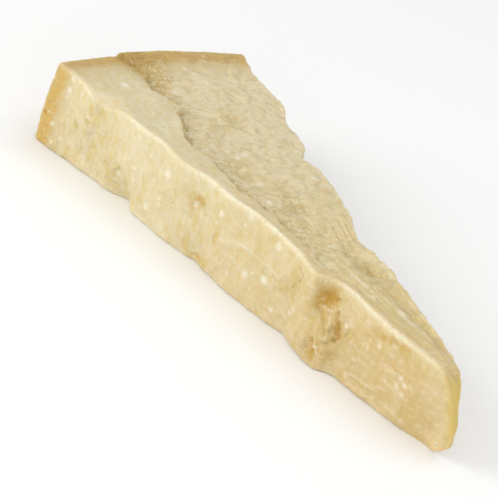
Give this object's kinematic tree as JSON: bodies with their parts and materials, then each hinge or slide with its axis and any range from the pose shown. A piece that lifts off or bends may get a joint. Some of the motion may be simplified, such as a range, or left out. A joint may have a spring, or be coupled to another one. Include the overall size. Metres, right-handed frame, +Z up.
{
  "type": "parmesan chunk",
  "caption": "Long flat wedge of aged hard cheese with a curved rind at its wide end and a blunt tip; it rests on its flat underside.",
  "frame": {"origin": "centre of the bounding box's underside, on the surface that the chunk rests on", "axes": "+X along the chunk from the rind to the tip, the cleaner cut side faces -Y, +Z up"},
  "size_m": [0.2111, 0.0855, 0.0332],
  "materials": {
    "cheese": "pale straw-coloured paste, slightly waxy, with white crystals and a tan rind"
  },
  "bodies": {
    "root": {"cheese_chunk": "cheese"}
  },
  "joints": []
}
